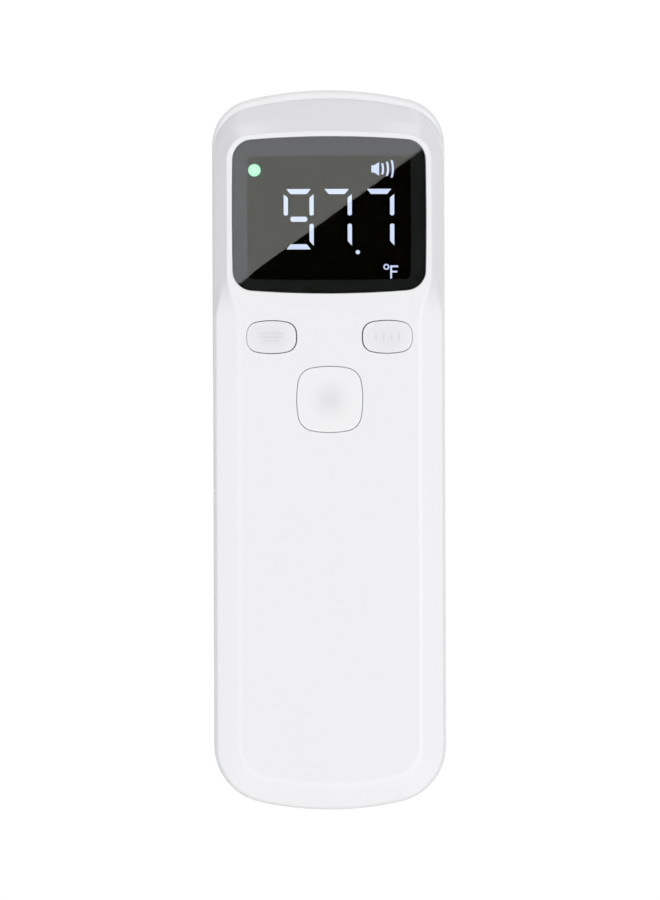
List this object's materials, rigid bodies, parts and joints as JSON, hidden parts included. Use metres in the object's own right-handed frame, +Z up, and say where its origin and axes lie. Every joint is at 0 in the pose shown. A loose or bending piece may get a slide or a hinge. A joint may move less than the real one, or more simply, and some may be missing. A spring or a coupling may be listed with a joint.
{
  "type": "digital thermometer",
  "caption": "Handheld infrared thermometer: upright case with a lit numeric display, three push buttons, a sensor nozzle behind the head and a sliding battery cover.",
  "frame": {"origin": "centre of the base of the bounding box, at the lower end of the handle", "axes": "+Z up the length of the case to the head; the display and buttons face -Y; the sensor nozzle points +Y; +X to the right of a person who looks at the display"},
  "size_m": [0.048, 0.038, 0.149],
  "materials": {
    "white_case": "satin white ABS, lightly polished",
    "white_button": "satin white ABS",
    "smoked_window": "polished smoked acrylic",
    "black_print": "matt black printed film",
    "gasket": "black adhesive foam",
    "display_black": "matt black",
    "display_lit": "cool white light guide",
    "display_signs": "cool white light guide",
    "lamp_green": "green light guide",
    "board_green": "green solder mask",
    "chip_black": "moulded black resin",
    "plunger": "moulded black",
    "steel": "nickel plated",
    "gold_pin": "gold plated",
    "sensor_window": "silicon filter",
    "sensor_brass": "turned brass",
    "nozzle_grey": "satin dark grey",
    "flex_amber": "amber polyimide",
    "tray_white": "matt white ABS",
    "cell_jacket": "printed steel jacket",
    "red_wire": "PVC",
    "black_wire": "PVC"
  },
  "bodies": {
    "case": {"back_shell": "white_case", "battery_tray": "tray_white", "black_lead": "black_wire", "board_screws": "steel", "bridge_contact": "steel", "case_screws": "steel", "chip_parts": "chip_black", "controller_chip": "chip_black", "crystal": "steel", "display_housing": "display_black", "display_pins": "gold_pin", "display_window": "smoked_window", "front_shell": "white_case", "left_cell": "cell_jacket", "left_spring": "steel", "left_switch": "chip_black", "lit_segments": "display_lit", "main_board": "board_green", "negative_contact": "steel", "positive_contact": "steel", "red_lead": "red_wire", "ribbon_socket": "chip_black", "right_cell": "cell_jacket", "right_spring": "steel", "right_switch": "chip_black", "scan_switch": "chip_black", "sensor_board": "board_green", "sensor_nozzle": "nozzle_grey", "sensor_ribbon": "flex_amber", "sensor_screws": "steel", "sensor_sleeve": "sensor_brass", "sound_sign": "display_signs", "sounder": "chip_black", "status_lamp": "lamp_green", "thermopile_can": "steel", "thermopile_leads": "gold_pin", "thermopile_window": "sensor_window", "tray_screws": "steel", "unit_sign": "display_signs", "unlit_segments": "display_black", "window_gasket": "gasket", "window_mask": "black_print"},
    "battery_cover": {"battery_cover": "white_case"},
    "scan_button": {"scan_button": "white_button", "scan_plunger": "plunger"},
    "left_button": {"left_button": "white_button", "left_plunger": "plunger"},
    "right_button": {"right_button": "white_button", "right_plunger": "plunger"}
  },
  "joints": [
    {"name": "cover_slide", "type": "slide", "parent": "case", "child": "battery_cover", "axis": [0, 0, -1], "range_m": [0, 0.07]},
    {"name": "scan_press", "type": "slide", "parent": "case", "child": "scan_button", "axis": [0, 1, 0], "range_m": [0, 0.0004], "stiffness_N_per_m": 600},
    {"name": "left_press", "type": "slide", "parent": "case", "child": "left_button", "axis": [0, 1, 0], "range_m": [0, 0.0004], "stiffness_N_per_m": 600},
    {"name": "right_press", "type": "slide", "parent": "case", "child": "right_button", "axis": [0, 1, 0], "range_m": [0, 0.0004], "stiffness_N_per_m": 600}
  ]
}
